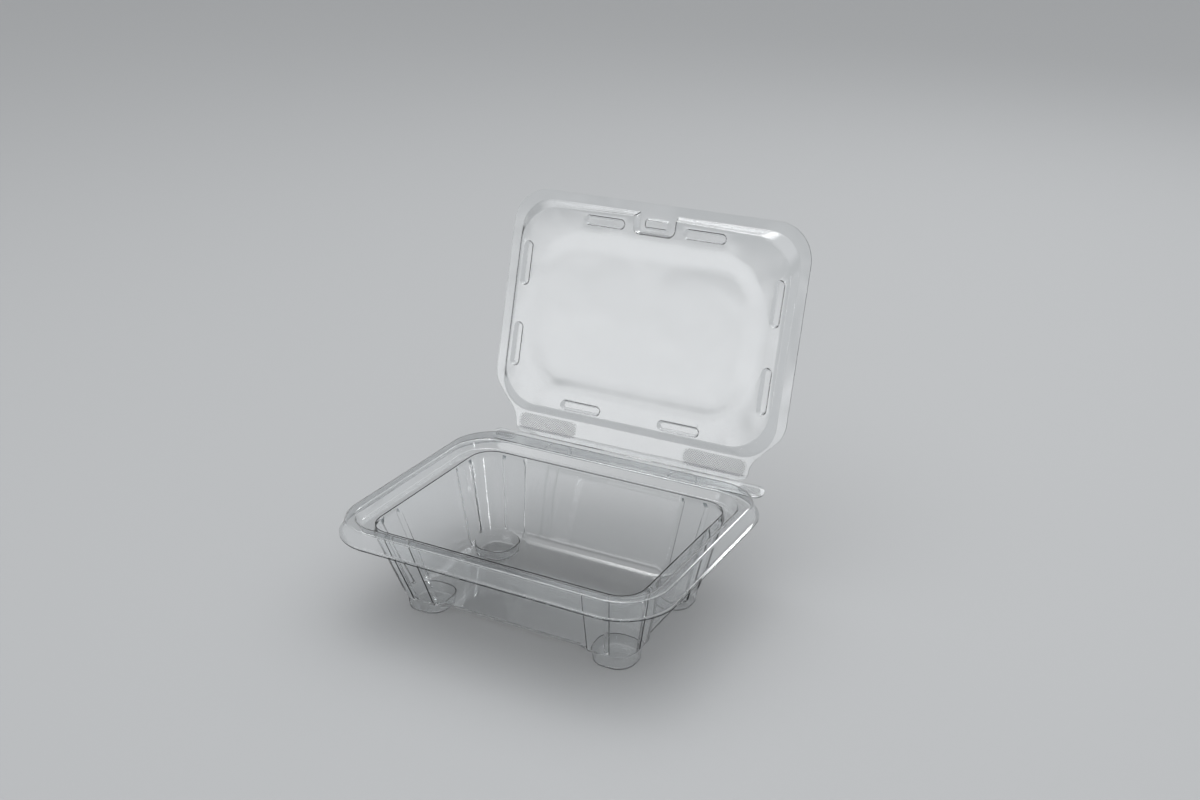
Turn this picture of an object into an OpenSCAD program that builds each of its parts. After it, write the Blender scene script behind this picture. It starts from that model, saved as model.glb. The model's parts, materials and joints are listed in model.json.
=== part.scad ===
// Hinged clear food pack, thermoformed from one plastic sheet: tray, tear strip and lid.
// Millimetres, +Z up. The pack stands on its four feet with the lid open.

/* [Sheet] */
// Thickness of the formed sheet
sheet = 0.5; // [0.4:0.05:0.7]
// Inside radius of the formed bends in the rim
bend_r = 0.9; // [0.7:0.1:1.1]

/* [Tray rim] */
// Width over the top edge of the rim
rim_w = 150; // [136:1:170]
// Depth over the top edge of the rim
rim_d = 115; // [104:1:130]
// Corner radius of the rim
rim_r = 20; // [18:0.5:22]
// Height of the rim over the table
rim_h = 47; // [40:0.5:60]
// How far the outer skirt hangs below the rim
skirt_drop = 7; // [6:0.25:8]
// How far the skirt flares outward
skirt_flare = 2; // [1:0.1:2.4]
// Width of the flat lip under the skirt
lip_w = 1.5; // [1:0.1:2]
// Width of the raised land along the front and the sides
land_w = 3.6; // [3:0.1:4.5]
// Width of the raised land along the hinge side
back_land = 9; // [8:0.25:10]
// Depth of the step inside the land
step_depth = 4.4; // [4:0.1:5]
// Sideways run of that step
step_run = 1.8; // [1.2:0.1:2]
// Width of the ledge along the front and the sides
ledge_w = 5.9; // [5:0.1:6.5]
// Width of the ledge along the hinge side
back_ledge = 1.7; // [1.5:0.1:2.5]

/* [Tray body] */
// Width of the floor
floor_w = 108; // [98:1:110]
// Depth of the floor
floor_d = 69; // [62:1:72]
// How far the floor lies behind the middle of the mouth
floor_back = 1.3; // [0:0.1:2]
// Height of the raised floor over the table
floor_h = 5.4; // [4.5:0.1:6.5]
// Corner radius of the walls at the floor
floor_r = 7.5; // [6:0.25:8.5]
// Corner radius of the walls at the ledge
mouth_r = 10.5; // [9:0.25:12]
// Radius between floor and walls from pillar to pillar
wall_fillet = 4; // [3:0.25:5]
// Radius between floor and walls at the pillars
floor_fillet = 1.6; // [1:0.1:2]
// Length of each corner pillar along the walls at the floor
pillar_floor = 17.5; // [16:0.5:19]
// Length of each corner pillar along the walls at the ledge
pillar_mouth = 23; // [21:0.5:26]
// How far the corner pillars stand outside the walls
pillar_out = 1.5; // [0.8:0.1:1.8]
// Width of the upright ribs
rib_w = 2.4; // [1.8:0.1:2.8]
// Height of the upright ribs
rib_h = 0.9; // [0.5:0.1:1.1]
// Draft of the foot wells from floor to sole
foot_draft = 0.6; // [0.4:0.1:1.2]
// Step between a pillar and its foot
foot_step = 0.2; // [0.15:0.05:0.3]

/* [Tear strip] */
// Length over the two pull tabs
strip_len = 142; // [130:1:146]
// Gap at each fold line
fold_gap = 0.7; // [0.65:0.05:0.9]
// Angle of the strip over level as the pack stands open
strip_angle = 21; // [5:1:40]
// Angle of the strip over level with the pack closed
strip_closed = 110; // [104:1:112]
// Length of the grip patch on each pull tab
tab_grip = 12; // [10:0.5:13]
// Height of the grip patches
grip_h = 0.25; // [0.2:0.05:0.4]

/* [Lid] */
// Angle of the lid over level as the pack stands open
lid_angle = 74; // [60:1:88]
// How far the lid flange reaches past the rim
lid_overhang = 0.5; // [0.3:0.1:0.8]
// Corner radius of the lid at the front
lid_r = 17.5; // [15:0.5:19]
// Corner radius of the lid beside the hinge neck
heel_r = 13; // [11:0.5:14]
// Width of the hinge neck
neck_w = 115; // [104:1:118]
// Depth of the hinge neck
neck_d = 13; // [12:0.25:14]
// Hollow radius between neck and lid
neck_fillet = 4.5; // [3:0.25:5]
// Gap between lid and rim when closed
seat_gap = 0.4; // [0.35:0.05:0.6]
// Depth of the recessed lid panel
plug_depth = 3.7; // [3:0.1:3.9]
// Margin from the edge of the panel to the soft centre dome
dome_margin = 12; // [11:0.5:14]
// Corner radius of the soft centre dome
dome_r = 22; // [18:0.5:25]
// Height of the soft centre dome
dome_h = 0.6; // [0.4:0.1:1]
// Sideways run of the edge of the dome
dome_run = 6; // [5:0.5:8]
// Length of the soft bend at either end of that run
dome_soft = 2.4; // [1.5:0.1:2.4]
// Length of the stacking bars
bar_len = 21; // [16:0.5:23]
// Width of the stacking bars
bar_w = 4.6; // [4:0.1:5]
// Height of the stacking bars
bar_h = 1.9; // [1.2:0.1:2.2]
// Margin from the edge of the panel to a stacking bar
bar_margin = 2.6; // [2.2:0.1:3.2]
// Distance of the front and back bars from the middle
bar_x = 25.5; // [24.5:0.5:28]
// Distance of the side bars from the middle of the panel
bar_y = 19.5; // [17:0.5:21]
// Sideways run of the walls of the bars and of the button
boss_draft = 0.9; // [0.6:0.1:1]
// Width of the tongue at the middle of the front edge
tongue_w = 19; // [17:0.5:20]
// Depth of the tongue
tongue_d = 9; // [8.5:0.25:10]
// Sideways run of the walls of the tongue
tongue_draft = 1.1; // [0.8:0.1:1.2]
// Width of the button on the tongue
button_w = 13; // [10:0.5:14]
// Depth of the button on the tongue
button_d = 5; // [4:0.25:5.5]
// Height of the button
button_h = 1.5; // [1:0.1:2]
// Length of the two finger grips on the neck
pad_len = 28; // [22:0.5:30]
// Width of the two finger grips on the neck
pad_w = 8.6; // [7:0.2:9]

/* [Hidden] */
$fn = 48;
EPS = 0.01;
OVER = 2;
// Overlap of two stretches of sheet at one height
LAP = 0.7;
clear_pet = [0.86, 0.91, 0.93, 0.4];
lip_z = rim_h - skirt_drop;
ledge_z = rim_h - step_depth;
lip_reach = skirt_flare + lip_w;
// Opening inside the raised land
open_w = rim_w - 2 * land_w;
open_d = rim_d - land_w - back_land;
open_y = (land_w - back_land) / 2;
open_r = rim_r - land_w;
// Mouth of the walls at the ledge
mouth_w = open_w - 2 * step_run - 2 * ledge_w;
mouth_d = open_d - 2 * step_run - ledge_w - back_ledge;
mouth_y = open_y + (ledge_w - back_ledge) / 2;
// Fold between tray and strip, then between strip and lid
fold1_y = rim_d / 2 + lip_reach + fold_gap;
fold1_z = lip_z + sheet / 2;
strip_w = (rim_h + seat_gap + sheet / 2 - fold1_z) / sin(strip_closed);
fold2_y = fold1_y + strip_w * cos(strip_angle);
fold2_z = fold1_z + strip_w * sin(strip_angle);
closed_y = fold1_y + strip_w * cos(strip_closed);
fold_len = rim_w - 2 * rim_r - 2;
// Lid sizes follow the tray it closes
lid_w = rim_w + 2 * lid_overhang;
lid_d = rim_d / 2 + lid_overhang + closed_y;
plug_w = open_w - 2 * seat_gap - sheet;
plug_d = open_d - 2 * seat_gap - sheet;
plug_y = closed_y - open_y;
plug_r = open_r - seat_gap - sheet / 2;
panel_w = plug_w - 2 * step_run;
panel_d = plug_d - 2 * step_run;
panel_r = plug_r - step_run;
dome_w = panel_w - 2 * dome_margin;
dome_d = panel_d - 2 * dome_margin;
bar_r = bar_w / 2 - EPS;
button_r = 1.8;
tongue_r = 2.5;
tongue_y = plug_y + plug_d / 2 + sheet / 2;
button_y = tongue_y - tongue_d + 1.6 + button_d / 2;
// The origin is under the middle of the open pack
y_min = -rim_d / 2 - lip_reach;
y_max = fold2_y + lid_d * cos(lid_angle) + sheet / 2 * sin(lid_angle);
y_shift = -(y_min + y_max) / 2;

// Plain helpers
function mix(a, b, k) = a + (b - a) * k;
function unit(v) = v / norm(v);
function side(v) = [-v[1], v[0]];
function turn(a) = a > 180 ? a - 360 : (a < -180 ? a + 360 : a);
function rev(list) = [for (i = [len(list) - 1:-1:0]) list[i]];

// Arc of radius r that rounds the corner p between points a and b
function bend(p, a, b, r, n) =
    let (u = unit(a - p), v = unit(b - p), half = acos(u * v) / 2)
    let (c = p + unit(u + v) * r / sin(half))
    let (s = p + u * r / tan(half) - c, e = p + v * r / tan(half) - c)
    let (a0 = atan2(s[1], s[0]), sweep = turn(atan2(e[1], e[0]) - a0))
    [for (i = [0:n]) c + r * [cos(a0 + sweep * i / n), sin(a0 + sweep * i / n)]];

// A line of points with its inner corners rounded
function rounded(path, r, n = 3) =
    let (last = len(path) - 1)
    let (bends = [for (i = [1:last - 1]) each bend(path[i], path[i - 1], path[i + 1], r, n)])
    concat([path[0]], bends, [path[last]]);

// Sideways direction at point i of a line, long enough to keep the thickness even
function miter(path, i) =
    let (last = len(path) - 1)
    let (d1 = unit(path[max(i, 1)] - path[max(i, 1) - 1]))
    let (d2 = unit(path[min(i, last - 1) + 1] - path[min(i, last - 1)]))
    let (m = unit(side(d1) + side(d2)))
    m / (m * side(d1));

// Section of a sheet of thickness t along a line
function sheet_section(path, t) =
    let (n = [for (i = [0:len(path) - 1]) miter(path, i)])
    concat(
        [for (i = [0:len(path) - 1]) path[i] + n[i] * t / 2],
        [for (i = [len(path) - 1:-1:0]) path[i] - n[i] * t / 2]
    );

// Rectangle with round corners
module round_rect(w, d, r) {
    square([w - 2 * r, d], center = true);
    square([w, d - 2 * r], center = true);
    for (x = [-1, 1], y = [-1, 1])
        translate([x * (w / 2 - r), y * (d / 2 - r)]) circle(r);
}

// Carries a section, drawn outward and up, round a rectangle with round corners
module swept(w, d, r) {
    for (i = [0:3])
        let (a = i % 2 == 0 ? w : d, b = i % 2 == 0 ? d : w)
        rotate(90 * i) {
            translate([a / 2, b / 2 - r, 0]) rotate([90, 0, 0]) linear_extrude(b - 2 * r) children();
            translate([a / 2 - r, b / 2 - r, 0]) rotate_extrude(angle = 90) translate([r, 0]) children();
        }
}

// Solid through a stack of rings that have the same number of points
module loft(rings) {
    n = len(rings[0]);
    m = len(rings);
    low = [for (j = [0:2]) (rings[0][0][j] + rings[0][floor(n / 2)][j]) / 2];
    high = [for (j = [0:2]) (rings[m - 1][0][j] + rings[m - 1][floor(n / 2)][j]) / 2];
    points = concat([for (ring = rings) each ring], [low, high]);
    walls = [for (k = [0:m - 2], i = [0:n - 1])
        let (a = k * n + i, b = k * n + (i + 1) % n)
        each [[a, a + n, b + n], [a, b + n, b]]];
    bottom = [for (i = [0:n - 1]) [n * m, i, (i + 1) % n]];
    top = [for (i = [0:n - 1]) [n * m + 1, (m - 1) * n + (i + 1) % n, (m - 1) * n + i]];
    polyhedron(points = points, faces = concat(walls, bottom, top), convexity = 6);
}

// Share of the way from floor to ledge at height z, and the middle of the walls there
function share(z) = (z - floor_h) / (ledge_z - floor_h);
function wall_y(k) = mouth_y + floor_back * (1 - k);

// How far a fillet of radius r still reaches in at a height over the floor
function fillet_in(r, up) = up >= r ? 0 : r - sqrt(r * r - (r - up) * (r - up));

// Widths of a rib from one foot to the other, with the rise at each of them
RIB = [[-1, 0], [-0.5, 0.75], [0, 1], [0.5, 0.75], [1, 0]];
// Run of the wall fillet into the first rib
TAIL = 3;

// One corner of the wall ring: rib, rib, round corner, rib, rib
function wall_corner(hx, hy, r, long, q, g, fillet) =
    let (out = pillar_out * q, rise = rib_h * q, h = rib_w / 2)
    let (at = r + h + 0.2)
    concat(
        [[hx - fillet + g, hy - long - h - TAIL]],
        [for (p = RIB) [hx + out * (p[0] + 1) / 2 - rise * p[1] + g, hy - long + h * p[0]]],
        [for (p = RIB) [hx + out - rise * p[1] + g, hy + out - at + h * p[0]]],
        [for (a = [0:15:90]) [hx + out - r + (r + g) * cos(a), hy + out - r + (r + g) * sin(a)]],
        [for (p = RIB) [hx + out - at - h * p[0], hy + out - rise * p[1] + g]],
        [for (p = RIB) [hx - long - h * p[0], hy + out * (1 - p[0]) / 2 - rise * p[1] + g]],
        [[hx - long - h - TAIL, hy - fillet + g]]
    );

// Wall ring at share k of the way up, ribs scaled by q, grown by g, up over the floor, at height z
function wall_ring(k, q, g, up, z) =
    let (inset = fillet_in(floor_fillet, up), fillet = fillet_in(wall_fillet, up) - inset)
    let (hx = mix(floor_w, mouth_w, k) / 2 - inset, hy = mix(floor_d, mouth_d, k) / 2 - inset)
    let (r = mix(floor_r, mouth_r, k) - inset / 2, long = mix(pillar_floor, pillar_mouth, k) - inset)
    let (c = wall_corner(hx, hy, r, long, q, g, fillet))
    [for (p = concat(
        c,
        rev([for (p = c) [-p[0], p[1]]]),
        [for (p = c) [-p[0], -p[1]]],
        rev([for (p = c) [p[0], -p[1]]])
    )) [p[0], p[1] + wall_y(k), z]];

// The tray body as a solid with its floor at z0, grown by g past the inside of the walls
module body_solid(g, z0, top) {
    run = ledge_z - floor_h;
    loft(concat(
        [for (a = [0:22.5:90])
            let (up = wall_fillet * (1 - cos(a)))
            wall_ring(up / run, min(1, up / floor_fillet), g, up, z0 + up)],
        [
            wall_ring(1 - 4 / run, 1, g, run, ledge_z - 4),
            wall_ring(1 - 1.5 / run, 0.2, g, run, ledge_z - 1.5),
            wall_ring(share(top), 0, g, run, top)
        ]
    ));
}

// Ring of the foot well at corner sx, sy and height z, grown by g
function foot_ring(sx, sy, g, z) =
    let (k = max(0, share(z)), s = foot_draft * max(0, 1 - z / floor_h))
    let (outer = pillar_out - foot_step - s + g, inner = pillar_floor - s + g)
    let (x1 = mix(floor_w, mouth_w, k) / 2 + outer, y1 = mix(floor_d, mouth_d, k) / 2 + outer)
    let (x0 = floor_w / 2 - inner, y0 = floor_d / 2 - inner)
    let (r = floor_r - foot_step - s / 2 + g)
    let (corners = [[x1, y1, 1, 1], [x0, y1, -1, 1], [x0, y0, -1, -1], [x1, y0, 1, -1]])
    let (ring = [for (i = [0:3], a = [0:15:90])
        let (c = corners[i], b = 90 * i + a)
        [sx * (c[0] - c[2] * r + r * cos(b)), sy * (c[1] - c[3] * r + r * sin(b)) + wall_y(k), z]])
    sx * sy > 0 ? ring : rev(ring);

// Four foot wells as solids, grown by g, with the sole at height z0
module feet_solid(g, z0, top) {
    for (x = [-1, 1], y = [-1, 1])
        loft([
            foot_ring(x, y, g - 0.6, z0),
            foot_ring(x, y, g, z0 + 0.6),
            foot_ring(x, y, g, floor_h),
            foot_ring(x, y, g, top)
        ]);
}

// Lip, skirt and outer edge of the land, then the land, the step and the ledge
module rim() {
    outer_line = rounded([
        [lip_reach, lip_z + sheet / 2],
        [skirt_flare, lip_z + sheet / 2],
        [0.4, rim_h - sheet / 2],
        [-land_w / 2, rim_h - sheet / 2]
    ], bend_r);
    inner_line = rounded([
        [land_w / 2, rim_h - sheet / 2],
        [0, rim_h - sheet / 2],
        [-step_run, ledge_z - sheet / 2],
        [-step_run - ledge_w / 4, ledge_z - sheet / 2]
    ], bend_r);
    swept(rim_w, rim_d, rim_r) polygon(sheet_section(outer_line, sheet));
    translate([0, open_y, 0]) swept(open_w, open_d, open_r) polygon(sheet_section(inner_line, sheet));
    lap = land_w * 0.8;
    translate([0, 0, rim_h - sheet]) linear_extrude(sheet) difference() {
        round_rect(rim_w - lap, rim_d - lap, rim_r - lap / 2);
        translate([0, open_y]) round_rect(open_w + lap, open_d + lap, open_r + lap / 2);
    }
    ledge_cut = 2 * step_run + ledge_w * 0.3;
    translate([0, open_y, ledge_z - sheet]) linear_extrude(sheet)
        round_rect(open_w - ledge_cut, open_d - ledge_cut, open_r - ledge_cut / 2);
}

module tray() {
    color(clear_pet) translate([0, y_shift, 0]) difference() {
        union() {
            rim();
            body_solid(sheet, floor_h - sheet, ledge_z - sheet / 2);
            feet_solid(sheet, 0, floor_h + OVER + sheet);
        }
        body_solid(0, floor_h, ledge_z + 1);
        feet_solid(0, sheet, floor_h + OVER);
    }
}

// Flat tear strip, from the tray fold along +Y to the lid fold
module strip_flat() {
    far = strip_w - fold_gap;
    tab_r = far / 2;
    rotate([0, 90, 0]) cylinder(h = fold_len, r = sheet / 2, center = true);
    translate([0, 0, -sheet / 2]) linear_extrude(sheet) {
        translate([-fold_len / 2, 0]) square([fold_len, far]);
        translate([0, far / 2]) round_rect(strip_len, far, tab_r - EPS);
    }
    for (x = [-1, 1])
        translate([x * (strip_len / 2 - 0.8 - tab_grip / 2), far / 2, sheet / 2 - EPS])
            linear_extrude(grip_h + EPS) round_rect(tab_grip, far - 1.6, tab_r - 0.9);
}

module tear_strip() {
    color(clear_pet) translate([0, y_shift + fold1_y, fold1_z]) rotate([strip_angle, 0, 0]) strip_flat();
}

// Outline of the lid flange, from the hinge neck at y = 0 to the front edge
module lid_outline() {
    hw = lid_w / 2;
    translate([-hw, neck_d + heel_r]) square([lid_w, lid_d - neck_d - heel_r - lid_r]);
    translate([-hw + lid_r, lid_d - lid_r - EPS]) square([lid_w - 2 * lid_r, lid_r + EPS]);
    translate([-hw + heel_r, neck_d]) square([lid_w - 2 * heel_r, heel_r + EPS]);
    for (x = [-1, 1]) {
        translate([x * (hw - lid_r), lid_d - lid_r]) circle(lid_r);
        translate([x * (hw - heel_r), neck_d + heel_r]) circle(heel_r);
        difference() {
            translate([x * (neck_w / 2 + neck_fillet / 2 - EPS), neck_d - neck_fillet / 2 + EPS])
                square(neck_fillet + 2 * EPS, center = true);
            translate([x * (neck_w / 2 + neck_fillet), neck_d - neck_fillet]) circle(neck_fillet);
        }
        translate([x * (neck_w / 2 - neck_fillet), neck_fillet]) circle(neck_fillet);
    }
    translate([-neck_w / 2, neck_fillet]) square([neck_w, neck_d - neck_fillet + EPS]);
    translate([-neck_w / 2 + neck_fillet, 0]) square([neck_w - 2 * neck_fillet, neck_fillet + EPS]);
}

// Places its shape at each of the eight stacking bars
module at_bars() {
    ex = panel_w / 2 - bar_margin - bar_w / 2;
    ey = panel_d / 2 - bar_margin - bar_w / 2;
    for (x = [-1, 1], y = [-1, 1])
        translate([x * bar_x, plug_y + y * ey, 0]) children();
    for (x = [-1, 1], y = [-1, 1])
        translate([x * ex, plug_y + y * bar_y, 0]) rotate(90) children();
}

// Formed boss in a flat sheet at height z0, with its own flat at height z1
module boss(w, d, r, z0, z1) {
    line = rounded([
        [LAP, z0],
        [0, z0],
        [-boss_draft, z1],
        [-boss_draft - LAP, z1]
    ], sheet / 2 + 0.1, 2);
    cut = 2 * boss_draft + LAP;
    swept(w, d, r) polygon(sheet_section(line, sheet));
    translate([0, 0, z1 - sheet / 2]) linear_extrude(sheet) round_rect(w - cut, d - cut, r - cut / 2);
}

// Hole in the flat sheet round such a boss
module boss_hole(w, d, r) {
    round_rect(w + LAP, d + LAP, r + LAP / 2);
}

// Flange of the lid, open where the panel is formed
module flange() {
    lap = land_w / 2;
    translate([0, 0, -sheet / 2]) linear_extrude(sheet) difference() {
        lid_outline();
        translate([0, plug_y]) round_rect(plug_w + lap, plug_d + lap, plug_r + lap / 2);
    }
}

// Wall that nests inside the step of the tray, and the flat margin of the panel
module plug() {
    lap = 1.2;
    line = rounded([
        [land_w / 3, 0],
        [0, 0],
        [-step_run, plug_depth],
        [-step_run - lap, plug_depth]
    ], bend_r);
    translate([0, plug_y, 0]) swept(plug_w, plug_d, plug_r) polygon(sheet_section(line, sheet));
    hole = 2 * dome_soft + 1;
    translate([0, 0, plug_depth - sheet / 2]) linear_extrude(sheet) difference() {
        translate([0, plug_y]) round_rect(panel_w - lap, panel_d - lap, panel_r - lap / 2);
        translate([0, plug_y]) round_rect(dome_w + hole, dome_d + hole, dome_r + hole / 2);
        at_bars() boss_hole(bar_len, bar_w, bar_r);
    }
}

// Soft dome in the middle of the panel
module dome() {
    end = dome_soft + 1;
    line = rounded([
        [end, plug_depth],
        [0, plug_depth],
        [-dome_run, plug_depth - dome_h],
        [-dome_run - end, plug_depth - dome_h]
    ], dome_soft / tan(atan2(dome_h, dome_run) / 2));
    cut = 2 * (dome_run + dome_soft) + 1;
    translate([0, plug_y, 0]) swept(dome_w, dome_d, dome_r) polygon(sheet_section(line, sheet));
    translate([0, plug_y, plug_depth - dome_h - sheet / 2]) linear_extrude(sheet)
        round_rect(dome_w - cut, dome_d - cut, dome_r - cut / 2);
}

// Outline of the tongue, grown by g, at height z
function tongue_ring(g, z) =
    let (r = tongue_r + g, x = tongue_w / 2 - tongue_r, y = tongue_d - tongue_r)
    [for (i = [0:3], a = [0:15:90])
        let (sx = i == 0 || i == 3 ? 1 : -1, sy = i < 2 ? 1 : -1)
        [sx * x + r * cos(90 * i + a), tongue_y + sy * y + r * sin(90 * i + a), z]];

// Room over the tongue, where no panel is
module tongue_room() {
    loft([
        tongue_ring(tongue_draft * sheet / 2 / plug_depth, sheet / 2),
        tongue_ring(tongue_draft, plug_depth),
        tongue_ring(tongue_draft, plug_depth + 1)
    ]);
}

// Tongue at the front edge: a patch level with the flange, the wall round it and its button
module tongue() {
    front = plug_y + plug_d / 2;
    line = rounded([
        [-LAP, 0],
        [0, 0],
        [tongue_draft, plug_depth],
        [tongue_draft + LAP, plug_depth]
    ], sheet / 2 + 0.1, 2);
    difference() {
        translate([0, tongue_y, 0]) swept(tongue_w, 2 * tongue_d, tongue_r)
            polygon(sheet_section(line, sheet));
        // The side walls end at the slope of the plug
        rotate([90, 0, 90]) linear_extrude(2 * tongue_w, center = true) polygon([
            [front, -1],
            [front, 0],
            [front - step_run, plug_depth],
            [front - step_run, plug_depth + 1],
            [front + 2 * tongue_d, plug_depth + 1],
            [front + 2 * tongue_d, -1]
        ]);
    }
    translate([0, 0, -sheet / 2]) linear_extrude(sheet) difference() {
        intersection() {
            translate([0, tongue_y]) round_rect(tongue_w - LAP, 2 * tongue_d - LAP, tongue_r - LAP / 2);
            translate([-tongue_w / 2, 0]) square([tongue_w, tongue_y + 1.1]);
        }
        translate([0, button_y]) boss_hole(button_w, button_d, button_r);
    }
    translate([0, button_y, 0]) boss(button_w, button_d, button_r, 0, button_h);
}

// Raised finger grips on the outside of the hinge neck
module finger_grips() {
    for (x = [-1, 1])
        translate([x * (neck_w / 2 - 1.4 - pad_len / 2), neck_d / 2 - 0.9, -sheet / 2 - grip_h])
            linear_extrude(grip_h + EPS) round_rect(pad_len, pad_w, 2.6);
}

// Flat lid: the flange lies at z = 0 and the panel is formed towards +Z, the inside
module lid_flat() {
    rotate([0, 90, 0]) cylinder(h = neck_w - 2 * neck_fillet, r = sheet / 2, center = true);
    flange();
    difference() {
        plug();
        tongue_room();
    }
    dome();
    at_bars() boss(bar_len, bar_w, bar_r, plug_depth, plug_depth - bar_h);
    tongue();
    finger_grips();
}

module lid() {
    color(clear_pet) translate([0, y_shift + fold2_y, fold2_z]) rotate([lid_angle, 0, 0]) lid_flat();
}

tray();
tear_strip();
lid();
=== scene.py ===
"""Looks of the hinged clear food pack: formed sheet, knurled grips, living folds, studio and camera."""
import json
import math

import bmesh
import bpy
from mathutils import Matrix, Vector

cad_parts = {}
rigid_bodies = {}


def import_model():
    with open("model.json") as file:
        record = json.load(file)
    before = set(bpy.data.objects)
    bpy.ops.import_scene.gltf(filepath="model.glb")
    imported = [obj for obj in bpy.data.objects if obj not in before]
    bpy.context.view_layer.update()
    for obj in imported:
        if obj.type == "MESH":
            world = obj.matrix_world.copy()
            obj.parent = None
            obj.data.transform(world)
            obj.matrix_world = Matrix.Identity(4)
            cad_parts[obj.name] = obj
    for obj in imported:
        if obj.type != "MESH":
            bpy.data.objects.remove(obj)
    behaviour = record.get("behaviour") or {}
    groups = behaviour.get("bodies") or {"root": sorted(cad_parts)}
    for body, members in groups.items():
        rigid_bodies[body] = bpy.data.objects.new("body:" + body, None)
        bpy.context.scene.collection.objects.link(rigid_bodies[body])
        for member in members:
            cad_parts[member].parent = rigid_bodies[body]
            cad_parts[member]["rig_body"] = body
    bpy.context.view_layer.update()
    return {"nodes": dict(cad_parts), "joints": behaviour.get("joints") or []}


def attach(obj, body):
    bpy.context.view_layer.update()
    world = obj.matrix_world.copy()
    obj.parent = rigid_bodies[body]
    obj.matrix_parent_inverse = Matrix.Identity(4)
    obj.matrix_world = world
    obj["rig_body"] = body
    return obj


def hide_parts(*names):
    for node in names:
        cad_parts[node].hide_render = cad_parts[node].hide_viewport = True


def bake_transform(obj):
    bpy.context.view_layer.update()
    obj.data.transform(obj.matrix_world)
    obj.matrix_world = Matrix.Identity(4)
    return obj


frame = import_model()
MM = 0.001
HALF_SHEET = 0.25 * MM
SQUARE_CORNERS = ((-1, -1), (1, -1), (1, 1), (-1, 1))

# Folds of the sheet at rest, from the frame
joints = {joint["name"]: joint for joint in frame["joints"]}
STRIP_FOLD = Vector(joints["strip_fold"]["pos_m"])
LID_FOLD = Vector(joints["lid_fold"]["pos_m"])
STRIP_WIDTH = (LID_FOLD - STRIP_FOLD).length
STRIP_ANGLE = math.atan2(LID_FOLD.z - STRIP_FOLD.z, LID_FOLD.y - STRIP_FOLD.y)
# Slope of the open lid, as the solid has it
LID_ANGLE = math.radians(74)


def plane(origin, angle):
    """Frame of a flat stretch of sheet: X along the fold, Y across it, Z out of its inner face."""
    return Matrix.Translation(origin) @ Matrix.Rotation(angle, 4, "X")


TRAY_PLANE = plane(STRIP_FOLD, 0)
STRIP_PLANE = plane(STRIP_FOLD, STRIP_ANGLE)
LID_PLANE = plane(LID_FOLD, LID_ANGLE)


def add_object(name, mesh, material=None):
    """Puts a mesh in the scene."""
    piece = bpy.data.objects.new(name, mesh)
    bpy.context.scene.collection.objects.link(piece)
    if material:
        mesh.materials.append(material)
    return piece


def mesh_from(name, verts, faces):
    """Mesh from lists of points and faces."""
    mesh = bpy.data.meshes.new(name)
    mesh.from_pydata([tuple(v) for v in verts], [], faces)
    mesh.update()
    return mesh


# Materials. Noise scales are per metre.
SHEET_IOR = 1.55
SHADOW_TINT = (0.955, 0.958, 0.96, 1)
HAZE_SCALE = 150
HAZE_DETAIL = 5
HAZE_LOW = 0.4
HAZE_HIGH = 0.7
WAVE_SCALE = 38
WAVE_DETAIL = 0.5
WAVE_DISTORTION = 0.6
WAVE_HEIGHT = 0.4 * MM


def place_nodes(tree, kinds):
    """Makes the named shader nodes in a node tree."""
    return [tree.nodes.new("ShaderNode" + kind) for kind in kinds]


def clear_sheet(name, tint, rough, wave, stretch=(1, 1, 1)):
    """Clear formed sheet: waves from forming, haze that comes and goes, light shadows."""
    material = bpy.data.materials.new(name)
    material.use_nodes = True
    tree = material.node_tree
    tree.nodes.clear()
    out, shader, mix, through, path = place_nodes(
        tree, ["OutputMaterial", "BsdfPrincipled", "MixShader", "BsdfTransparent", "LightPath"]
    )
    place, squeeze, haze, spread, waves, bump = place_nodes(
        tree, ["TexCoord", "Mapping", "TexNoise", "MapRange", "TexNoise", "Bump"]
    )
    shader.inputs["Base Color"].default_value = (*tint, 1)
    shader.inputs["Transmission Weight"].default_value = 1
    shader.inputs["IOR"].default_value = SHEET_IOR
    squeeze.inputs["Scale"].default_value = stretch
    haze.inputs["Scale"].default_value = HAZE_SCALE
    haze.inputs["Detail"].default_value = HAZE_DETAIL
    spread.inputs["From Min"].default_value = HAZE_LOW
    spread.inputs["From Max"].default_value = HAZE_HIGH
    spread.inputs["To Min"].default_value = rough[0]
    spread.inputs["To Max"].default_value = rough[1]
    waves.inputs["Scale"].default_value = WAVE_SCALE
    waves.inputs["Detail"].default_value = WAVE_DETAIL
    waves.inputs["Distortion"].default_value = WAVE_DISTORTION
    bump.inputs["Strength"].default_value = wave
    bump.inputs["Distance"].default_value = WAVE_HEIGHT
    through.inputs["Color"].default_value = SHADOW_TINT
    link = tree.links.new
    link(place.outputs["Object"], squeeze.inputs["Vector"])
    link(squeeze.outputs["Vector"], haze.inputs["Vector"])
    link(haze.outputs["Fac"], spread.inputs["Value"])
    link(spread.outputs["Result"], shader.inputs["Roughness"])
    link(squeeze.outputs["Vector"], waves.inputs["Vector"])
    link(waves.outputs["Fac"], bump.inputs["Height"])
    link(bump.outputs["Normal"], shader.inputs["Normal"])
    # Lamps shine through the sheet and leave a light shadow
    link(path.outputs["Is Shadow Ray"], mix.inputs["Fac"])
    link(shader.outputs["BSDF"], mix.inputs[1])
    link(through.outputs["BSDF"], mix.inputs[2])
    link(mix.outputs["Shader"], out.inputs["Surface"])
    return material


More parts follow.
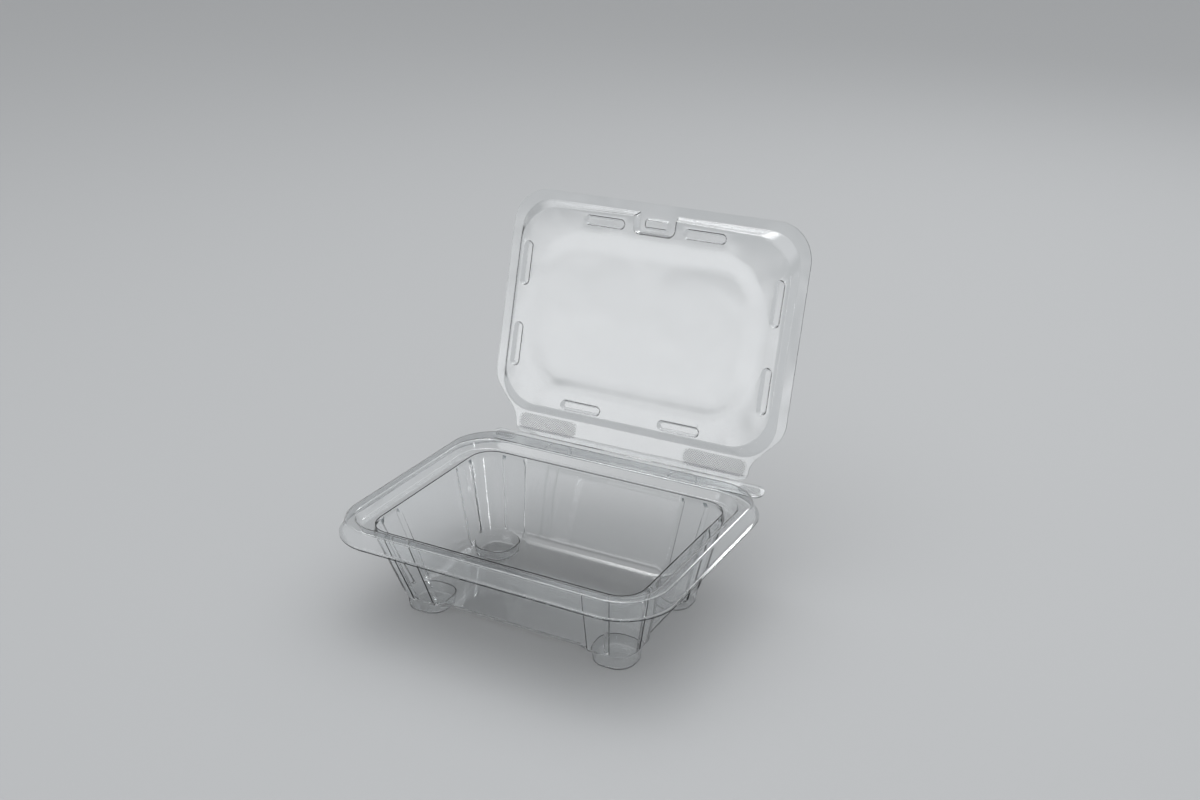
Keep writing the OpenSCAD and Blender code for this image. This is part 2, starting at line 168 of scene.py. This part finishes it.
# Each sheet: name, tint, least and most roughness, strength of its waves
CLEAR_TINT = (0.98, 0.99, 0.994)
UPRIGHT_STREAKS = (3, 3, 0.35)
TRAY_SHEET = clear_sheet("tray_sheet", CLEAR_TINT, (0.01, 0.035), 0.012)
WALL_SHEET = clear_sheet("wall_sheet", CLEAR_TINT, (0.01, 0.035), 0.12, UPRIGHT_STREAKS)
STRIP_SHEET = clear_sheet("strip_sheet", (0.975, 0.985, 0.99), (0.02, 0.06), 0.02)
LID_SHEET = clear_sheet("lid_sheet", CLEAR_TINT, (0.012, 0.03), 0.8)
# Cut edges: frosted like a die cut, with a dark grey tint that is painted shade to draw the sheet's
# outline
EDGE_SHADE_SHEET = clear_sheet("edge_painted_shade", (0.3, 0.34, 0.36), (0.2, 0.35), 0.02)
# Knurl pyramids: frosted, with a near-black tint that is painted shade of the light the pyramids bend
# away
GRIP_SHADE_SHEET = clear_sheet("grip_painted_shade", (0.14, 0.15, 0.16), (0.16, 0.28), 0.02)

# Places in each sheet's list of materials, after the plain sheet: walls or grips, then the cut edge
ACCENT = 1
CUT_EDGE = 2

# Formed sheets
WELD = 1e-6
FLAT_TURN = math.radians(0.3)
SHARP_TURN = math.radians(40)


def smooth_copy(node_name):
    """Mesh of a sheet with soft bends and crisp cut edges."""
    shape = bmesh.new()
    shape.from_mesh(frame["nodes"][node_name].data)
    bmesh.ops.remove_doubles(shape, verts=shape.verts, dist=WELD)
    bmesh.ops.dissolve_limit(shape, angle_limit=FLAT_TURN, verts=shape.verts, edges=shape.edges)
    for face in shape.faces:
        face.smooth = True
    for edge in shape.edges:
        edge.smooth = edge.calc_face_angle(0) < SHARP_TURN
    return shape


# Knurl of the grips: diamonds a pitch wide, each a pyramid inside a narrow flat groove
KNURL_PITCH = 0.85 * MM
KNURL_GROOVE = 0.11 * MM
PYRAMID_RISE = 0.42
WHOLE_CELL = 0.995 * KNURL_PITCH**2
CUT_SLACK = 1e-7
PATCH_SLACK = 0.02 * MM
PATCH_FACING = 0.99


def patch_parts(shape, flat, middle, size, level):
    """Faces, edges and points of the flat patch at a level of a sheet."""
    inside = flat.inverted()
    up = 1 if level > 0 else -1
    normal = (flat.to_3x3() @ Vector((0, 0, up))).normalized()
    parts = []
    for face in shape.faces:
        at = inside @ face.calc_center_median()
        near = abs(at.x - middle[0]) < size[0] / 2 and abs(at.y - middle[1]) < size[1] / 2
        if near and abs(at.z - level) < PATCH_SLACK and face.normal.dot(normal) > PATCH_FACING:
            parts += [face, *face.edges, *face.verts]
    if not parts:
        raise RuntimeError("no flat patch at " + str(tuple(middle)))
    return list(dict.fromkeys(parts))


def knurl(shape, flat, middle, size, level):
    """Cuts the flat patch at a level of a sheet into diamonds and raises the whole ones to pyramids."""
    geom = patch_parts(shape, flat, middle, size, level)
    reach = int((size[0] + size[1]) / KNURL_PITCH / 2) + 1
    for slope in (1, -1):
        across = Vector((slope, 1, 0)).normalized()
        cut_normal = flat.to_3x3() @ across
        for step in range(-reach, reach + 1):
            cut_at = flat @ (Vector((*middle, level)) + across * step * KNURL_PITCH)
            cut = bmesh.ops.bisect_plane(
                shape, geom=geom, dist=CUT_SLACK, plane_co=cut_at, plane_no=cut_normal
            )
            geom = cut["geom"]
    faces = [item for item in geom if isinstance(item, bmesh.types.BMFace)]
    cells = [face for face in faces if len(face.verts) == 4 and face.calc_area() > WHOLE_CELL]
    bmesh.ops.inset_individual(shape, faces=cells, thickness=KNURL_GROOVE, use_even_offset=True)
    raised = bmesh.ops.poke(shape, faces=cells, offset=PYRAMID_RISE, use_relative_offset=True)
    for face in raised["faces"]:
        face.smooth = False
        # The pyramids take the grips' dark tint, which is painted shade
        face.material_index = ACCENT


# A face of the cut edge lies within this of the sheet's middle and stands this square to it
CUT_EDGE_SLACK = 0.05 * MM
CUT_EDGE_FACING = 0.1


def cut_faces(shape, flat):
    """Faces of the cut edge round a flat sheet."""
    inside = flat.inverted()
    normal = (flat.to_3x3() @ Vector((0, 0, 1))).normalized()
    found = []
    for face in shape.faces:
        level = (inside @ face.calc_center_median()).z
        if abs(level) < CUT_EDGE_SLACK and abs(face.normal.dot(normal)) < CUT_EDGE_FACING:
            found.append(face)
    return found


def mark_cut_edges(shape, flat):
    """Gives the cut edge round a flat sheet the frosted finish of a die cut, with a grey tint painted
    on as shade that draws the outline.
    """
    for face in cut_faces(shape, flat):
        face.material_index = CUT_EDGE


# Right half of the lid on its own plane, in millimetres over the fold: first as the solid has it
FLANGE_HALF = 75.5
NECK_HALF = 57.5
NECK_ROUND = 4.5
NECK_FOOT = 0.3
HOLLOW_START = 8.4
HEEL_END = 26.1
PAD_START = 28.0
PAD_END = 9.93
PLUG_MIDDLE = 61.7
PLUG_CORNER = Vector((54.98, 34.77))
PLUG_RADIUS = 15.75
PANEL_RADIUS = 13.95
PANEL_LEVEL = 3.7
WALL_START = 0.3
WALL_END = -2.5
TONGUE_HALF = 14.0
SIDE_SLACK = 0.05
LEVEL_SLACK = 0.002
# Then as the photograph has it: a wider neck with a slow flare, and a panel with rounder corners
WIDE_NECK_HALF = 61.0
WIDE_NECK_ROUND = 3.9
HOLLOW = Vector((70.0, 4.5))
HOLLOW_RADIUS = 9.0
HEEL = Vector((62.5, 28.8))
HEEL_RADIUS = 13.0
FLARE_ANGLE = math.radians(42)
FLARE_TURN = Vector((math.cos(FLARE_ANGLE), math.sin(FLARE_ANGLE)))
FLARE_LOW = HOLLOW + HOLLOW_RADIUS * Vector((-FLARE_TURN.x, FLARE_TURN.y))
FLARE_HIGH = HEEL + HEEL_RADIUS * Vector((FLARE_TURN.x, -FLARE_TURN.y))
ROUND_PANEL_RADIUS = 19.0
ROUND_PANEL_HALF = 68.5
ROUND_PANEL_BACK = 47.1
ROUND_PANEL_FRONT = 47.6


def flare(x):
    """Outline from the side of the neck to the side of the flange: hollow arc, straight, round heel."""
    if x < FLARE_LOW.x:
        return HOLLOW.y + math.sqrt(HOLLOW_RADIUS**2 - (HOLLOW.x - x) ** 2)
    if x < FLARE_HIGH.x:
        along = (x - FLARE_LOW.x) / (FLARE_HIGH.x - FLARE_LOW.x)
        return FLARE_LOW.y + along * (FLARE_HIGH.y - FLARE_LOW.y)
    return HEEL.y - math.sqrt(max(0, HEEL_RADIUS**2 - (x - HEEL.x) ** 2))


def widen_neck(x, y, on_outline):
    """New place of a point of the flange beside the neck, or of a finger grip."""
    if on_outline and x > NECK_HALF - SIDE_SLACK and HOLLOW_START < y < HEEL_END:
        share = (FLANGE_HALF - WIDE_NECK_HALF) / (FLANGE_HALF - NECK_HALF)
        x = WIDE_NECK_HALF + (x - NECK_HALF) * share
        return x, flare(x)
    if x > PAD_START and y < PAD_END:
        share = (WIDE_NECK_HALF - PAD_START) / (NECK_HALF - PAD_START)
        x = PAD_START + (x - PAD_START) * share
        if on_outline and y > NECK_FOOT:
            y *= WIDE_NECK_ROUND / NECK_ROUND
    return x, y


def round_panel(x, y, z):
    """New place of a point of the plug wall or of the panel's edge."""
    end = 1 if y > PLUG_MIDDLE else -1
    reach = Vector((max(x - PLUG_CORNER.x, 0), max(abs(y - PLUG_MIDDLE) - PLUG_CORNER.y, 0)))
    in_wall = WALL_END < reach.length - PLUG_RADIUS
    if not in_wall or (end > 0 and x < TONGUE_HALF):
        return x, y
    half = Vector((ROUND_PANEL_HALF, ROUND_PANEL_FRONT if end > 0 else ROUND_PANEL_BACK))
    corner = half - Vector((ROUND_PANEL_RADIUS, ROUND_PANEL_RADIUS))
    move = corner - PLUG_CORNER + (ROUND_PANEL_RADIUS - PANEL_RADIUS) * reach.normalized()
    share = min(z / PANEL_LEVEL, 1)
    if not reach.x:
        return x, y + end * move.y * share
    if not reach.y:
        return x + move.x * share, y
    return x + move.x * share, y + end * move.y * share


def fill_flat(shape, flat, level):
    """Fills the flat stretch of a sheet at a level again, after its edges have moved."""
    inside = flat.inverted()
    old = [
        face
        for face in shape.faces
        if all(abs((inside @ vert.co).z / MM - level) < LEVEL_SLACK for vert in face.verts)
    ]
    facing = old[0].normal.copy()
    bmesh.ops.delete(shape, geom=old, context="FACES")
    rim = [edge for edge in shape.edges if edge.is_boundary]
    made = bmesh.ops.triangle_fill(shape, edges=rim, use_beauty=True, normal=facing)
    for face in made["geom"]:
        if isinstance(face, bmesh.types.BMFace):
            face.smooth = True


def shape_lid(shape):
    """Gives the lid the flared neck and the rounder panel of the photograph."""
    inside = LID_PLANE.inverted()
    outline = {vert for face in cut_faces(shape, LID_PLANE) for vert in face.verts}
    for vert in shape.verts:
        at = inside @ vert.co / MM
        half = -1 if at.x < 0 else 1
        if at.z > WALL_START:
            x, y = round_panel(abs(at.x), at.y, at.z)
        else:
            x, y = widen_neck(abs(at.x), at.y, vert in outline)
        vert.co = LID_PLANE @ (Vector((half * x, y, at.z)) * MM)
    shape.normal_update()
    for face_side in (-1, 1):
        fill_flat(shape, LID_PLANE, PANEL_LEVEL + face_side * HALF_SHEET / MM)


# Heights of the tray's walls, between the floor and the ledge
WALL_FOOT = 7 * MM
WALL_TOP = 39.5 * MM


def mark_walls(shape):
    """Gives the walls of the tray the upright streaks of a drawn sheet."""
    for face in shape.faces:
        if WALL_FOOT < face.calc_center_median().z < WALL_TOP:
            face.material_index = ACCENT


def formed_sheet(name, node_name, shape, materials):
    """Puts a finished sheet in the place of its solid."""
    mesh = bpy.data.meshes.new(name)
    shape.to_mesh(mesh)
    shape.free()
    piece = add_object(name, mesh)
    for material in materials:
        mesh.materials.append(material)
    weights = piece.modifiers.new("weights", "WEIGHTED_NORMAL")
    weights.keep_sharp = True
    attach(piece, frame["nodes"][node_name]["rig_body"])
    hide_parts(node_name)


# Grips: rise over the sheet, middle of the right one on its plane, and size
GRIP_RISE = 0.25 * MM
GRIP_LEVEL = HALF_SHEET + GRIP_RISE
LID_PAD = (43.77 * MM, 5.6 * MM)
LID_PAD_SIZE = (31.4 * MM, 8.6 * MM)
TAB_GRIP = (64.2 * MM, 3.59 * MM)
TAB_GRIP_SIZE = (12 * MM, 5.6 * MM)

lid_shape = smooth_copy("lid")
shape_lid(lid_shape)
strip_shape = smooth_copy("tear_strip")
for end in (-1, 1):
    pad = (end * LID_PAD[0], LID_PAD[1])
    knurl(lid_shape, LID_PLANE, pad, LID_PAD_SIZE, -GRIP_LEVEL)
    grip = (end * TAB_GRIP[0], TAB_GRIP[1])
    knurl(strip_shape, STRIP_PLANE, grip, TAB_GRIP_SIZE, GRIP_LEVEL)
tray_shape = smooth_copy("tray")
mark_walls(tray_shape)
mark_cut_edges(tray_shape, TRAY_PLANE)
mark_cut_edges(strip_shape, STRIP_PLANE)
mark_cut_edges(lid_shape, LID_PLANE)
formed_sheet("tray_sheet", "tray", tray_shape, [TRAY_SHEET, WALL_SHEET, EDGE_SHADE_SHEET])
formed_sheet("strip_sheet", "tear_strip", strip_shape, [STRIP_SHEET, GRIP_SHADE_SHEET, EDGE_SHADE_SHEET])
formed_sheet("lid_sheet", "lid", lid_shape, [LID_SHEET, GRIP_SHADE_SHEET, EDGE_SHADE_SHEET])

# Thin folds that join the sheets
FOLD_GAP = 0.7 * MM
FOLD_STEPS = 8
FOLD_SEAM = 0.02 * MM
WEB_THICK = 0.4 * MM
# Half thickness of a web as a share of its full one: mean, and swing from the middle to the ends
WEB_MEAN = 0.35
WEB_SWING = 0.15
TRAY_WEB_LENGTH = 107 * MM
LID_WEB_LENGTH = 105 * MM


def fold_web(name, flat, start, length):
    """Thin web from one sheet to the next, thinner in the middle than at the ends."""
    end = start + FOLD_GAP - HALF_SHEET
    verts = []
    for step in range(FOLD_STEPS + 1):
        along = start + FOLD_SEAM + (end - start - 2 * FOLD_SEAM) * step / FOLD_STEPS
        thin = WEB_THICK * (WEB_MEAN + WEB_SWING * math.cos(2 * math.pi * step / FOLD_STEPS))
        for x, z in SQUARE_CORNERS:
            verts.append(flat @ Vector((x * length / 2, along, z * thin)))
    faces = [(3, 2, 1, 0), tuple(FOLD_STEPS * 4 + i for i in range(4))]
    for step in range(FOLD_STEPS):
        low = step * 4
        faces += [(low + i, low + (i + 1) % 4, low + (i + 1) % 4 + 4, low + i + 4) for i in range(4)]
    piece = add_object(name, mesh_from(name, verts, faces), STRIP_SHEET)
    for face in piece.data.polygons:
        face.use_smooth = abs(face.normal.x) < 0.5
    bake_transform(piece)


fold_web("tray_fold", TRAY_PLANE, -FOLD_GAP, TRAY_WEB_LENGTH)
fold_web("lid_fold_web", STRIP_PLANE, STRIP_WIDTH - FOLD_GAP, LID_WEB_LENGTH)

# Half-round ridges on the tear strip
ARC_STEPS = 32
ARC_SIDES = 8
ARC_REACH = 7 * MM
RIDGE_HALF_WIDTH = 0.3 * MM
RIDGE_RISE = 0.2 * MM


def strip_arc(name, middle, height):
    """Half-round ridge that stands on the tear strip, from the tray fold."""
    verts = []
    for step in range(ARC_STEPS + 1):
        turn = math.pi * step / ARC_STEPS
        at = Vector((middle + ARC_REACH * math.cos(turn), FOLD_GAP + height * math.sin(turn), 0))
        out = Vector((math.cos(turn) / ARC_REACH, math.sin(turn) / height, 0)).normalized()
        for side in range(ARC_SIDES):
            angle = 2 * math.pi * side / ARC_SIDES
            lift = Vector((0, 0, HALF_SHEET + RIDGE_RISE * math.sin(angle)))
            verts.append(STRIP_PLANE @ (at + out * RIDGE_HALF_WIDTH * math.cos(angle) + lift))
    last = ARC_STEPS * ARC_SIDES
    faces = [tuple(range(ARC_SIDES)), tuple(last + side for side in reversed(range(ARC_SIDES)))]
    for step in range(ARC_STEPS):
        for side in range(ARC_SIDES):
            a = step * ARC_SIDES + side
            b = step * ARC_SIDES + (side + 1) % ARC_SIDES
            faces.append((a, a + ARC_SIDES, b + ARC_SIDES, b))
    piece = add_object(name, mesh_from(name, verts, faces), STRIP_SHEET)
    for face in piece.data.polygons:
        face.use_smooth = len(face.vertices) == 4
    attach(piece, "strip")


strip_arc("strip_arc_left", -33 * MM, 4.4 * MM)
strip_arc("strip_arc_right", 32 * MM, 5.2 * MM)

# Studio
FLOOR_HALF = 3.0
FLOOR_Z = -0.05 * MM
FLOOR_COLOUR = (0.41, 0.418, 0.426, 1)
FLOOR_ROUGHNESS = 0.6
BLACK = (0, 0, 0, 1)
WHITE = (1, 1, 1, 1)
FULL_LIGHT = (0.3, 0.7)
# Sky by the height of a direction: pale horizon, dark band, bright overhead
DARK_BAND = (0.03, 0.03, 0.03, 1)
SKY_LOW = (0.1, (0.4, 0.405, 0.41, 1))
SKY_BAND = ((0.18, DARK_BAND), (0.5, DARK_BAND))
SKY_HIGH = (0.72, (0.98, 0.99, 1, 1))
SKY_STRENGTH = 1.3
# Softboxes: name, place, aim, size and power
SOFTBOXES = (
    ("front_left", (-0.521, -1.015, 0.226), (0, 0.05, 0.09), (0.56, 0.5), 1.9),
    ("top", (-0.25, 0.15, 1.3), (0, 0, 0.05), (0.9, 0.9), 11),
    ("back", (0.1, 1.0, 0.75), (0, 0, 0.06), (0.9, 0.14), 4),
    ("right", (1.0, -0.45, 0.28), (0, 0, 0.06), (0.1, 0.5), 1.8),
)


def pale_floor():
    """Plain pale floor just under the feet."""
    material = bpy.data.materials.new("floor")
    material.use_nodes = True
    shader = material.node_tree.nodes["Principled BSDF"]
    shader.inputs["Base Color"].default_value = FLOOR_COLOUR
    shader.inputs["Roughness"].default_value = FLOOR_ROUGHNESS
    corners = [(x * FLOOR_HALF, y * FLOOR_HALF, FLOOR_Z) for x, y in SQUARE_CORNERS]
    add_object("floor", mesh_from("floor", corners, [(0, 1, 2, 3)]), material)


def soften(lamp):
    """Fades a softbox from its middle to its edges."""
    lamp.use_nodes = True
    tree = lamp.node_tree
    place, parts = place_nodes(tree, ["NewGeometry", "SeparateXYZ"])
    tree.links.new(place.outputs["Parametric"], parts.inputs["Vector"])
    fades = []
    for axis in ("X", "Y"):
        ramp = tree.nodes.new("ShaderNodeValToRGB")
        ramp.color_ramp.interpolation = "EASE"
        stops = ramp.color_ramp.elements
        stops[0].color = BLACK
        stops[1].color = BLACK
        stops[1].position = 1
        for position in FULL_LIGHT:
            stops.new(position).color = WHITE
        tree.links.new(parts.outputs[axis], ramp.inputs["Fac"])
        fades.append(ramp.outputs["Color"])
    both = tree.nodes.new("ShaderNodeMath")
    both.operation = "MULTIPLY"
    tree.links.new(fades[0], both.inputs[0])
    tree.links.new(fades[1], both.inputs[1])
    tree.links.new(both.outputs["Value"], tree.nodes["Emission"].inputs["Strength"])


def softbox(name, place, aim, size, power):
    """Soft rectangular lamp that shines on a point."""
    lamp = bpy.data.lights.new(name, "AREA")
    lamp.shape = "RECTANGLE"
    lamp.size, lamp.size_y = size
    lamp.energy = power
    soften(lamp)
    made = bpy.data.objects.new(name, lamp)
    made.location = place
    made.rotation_euler = (Vector(aim) - Vector(place)).to_track_quat("-Z", "Y").to_euler()
    bpy.context.scene.collection.objects.link(made)


def studio():
    """Soft sky, with a dark band that draws the bends, and softboxes for the sheen of the sheet."""
    world = bpy.data.worlds.new("studio")
    world.use_nodes = True
    tree = world.node_tree
    place, parts, ramp = place_nodes(tree, ["TexCoord", "SeparateXYZ", "ValToRGB"])
    stops = ramp.color_ramp.elements
    stops[0].position, stops[0].color = SKY_LOW
    stops[1].position, stops[1].color = SKY_HIGH
    for position, colour in SKY_BAND:
        stops.new(position).color = colour
    tree.links.new(place.outputs["Generated"], parts.inputs["Vector"])
    tree.links.new(parts.outputs["Z"], ramp.inputs["Fac"])
    tree.links.new(ramp.outputs["Color"], tree.nodes["Background"].inputs["Color"])
    tree.nodes["Background"].inputs["Strength"].default_value = SKY_STRENGTH
    bpy.context.scene.world = world
    for lamp in SOFTBOXES:
        softbox(*lamp)


pale_floor()
studio()

# Camera at the photograph's viewing angle, from a fit to the edges of the pack
AZIMUTH = math.radians(28.88)
ELEVATION = math.radians(22.68)
ROLL = math.radians(-0.13)
TARGET = Vector((11.33, 2.77, 90.09)) * MM
DISTANCE = 620.69 * MM
FOCAL_PIXELS = 1458.6
PHOTO_PIXELS = 1200
SENSOR_WIDTH = 36
NEAR_CLIP = 0.01


def photo_camera():
    """Camera that sees the pack as the photograph does."""
    back = Vector((
        math.sin(AZIMUTH) * math.cos(ELEVATION),
        -math.cos(AZIMUTH) * math.cos(ELEVATION),
        math.sin(ELEVATION),
    ))
    right = Vector((0, 0, 1)).cross(back).normalized()
    up = back.cross(right)
    turn = Matrix((right, up, back)).transposed().to_4x4() @ Matrix.Rotation(ROLL, 4, "Z")
    data = bpy.data.cameras.new("camera")
    data.sensor_fit = "HORIZONTAL"
    data.sensor_width = SENSOR_WIDTH
    data.lens = FOCAL_PIXELS / PHOTO_PIXELS * SENSOR_WIDTH
    data.clip_start = NEAR_CLIP
    made = bpy.data.objects.new("camera", data)
    made.matrix_world = Matrix.Translation(TARGET + back * DISTANCE) @ turn
    bpy.context.scene.collection.objects.link(made)
    bpy.context.scene.camera = made


photo_camera()

# Light has to pass many sheets
LIGHT_BOUNCES = 20
scene = bpy.context.scene
scene.view_settings.view_transform = "Standard"
scene.cycles.caustics_reflective = False
scene.cycles.caustics_refractive = False
scene.cycles.max_bounces = LIGHT_BOUNCES
scene.cycles.transmission_bounces = LIGHT_BOUNCES
scene.cycles.transparent_max_bounces = LIGHT_BOUNCES
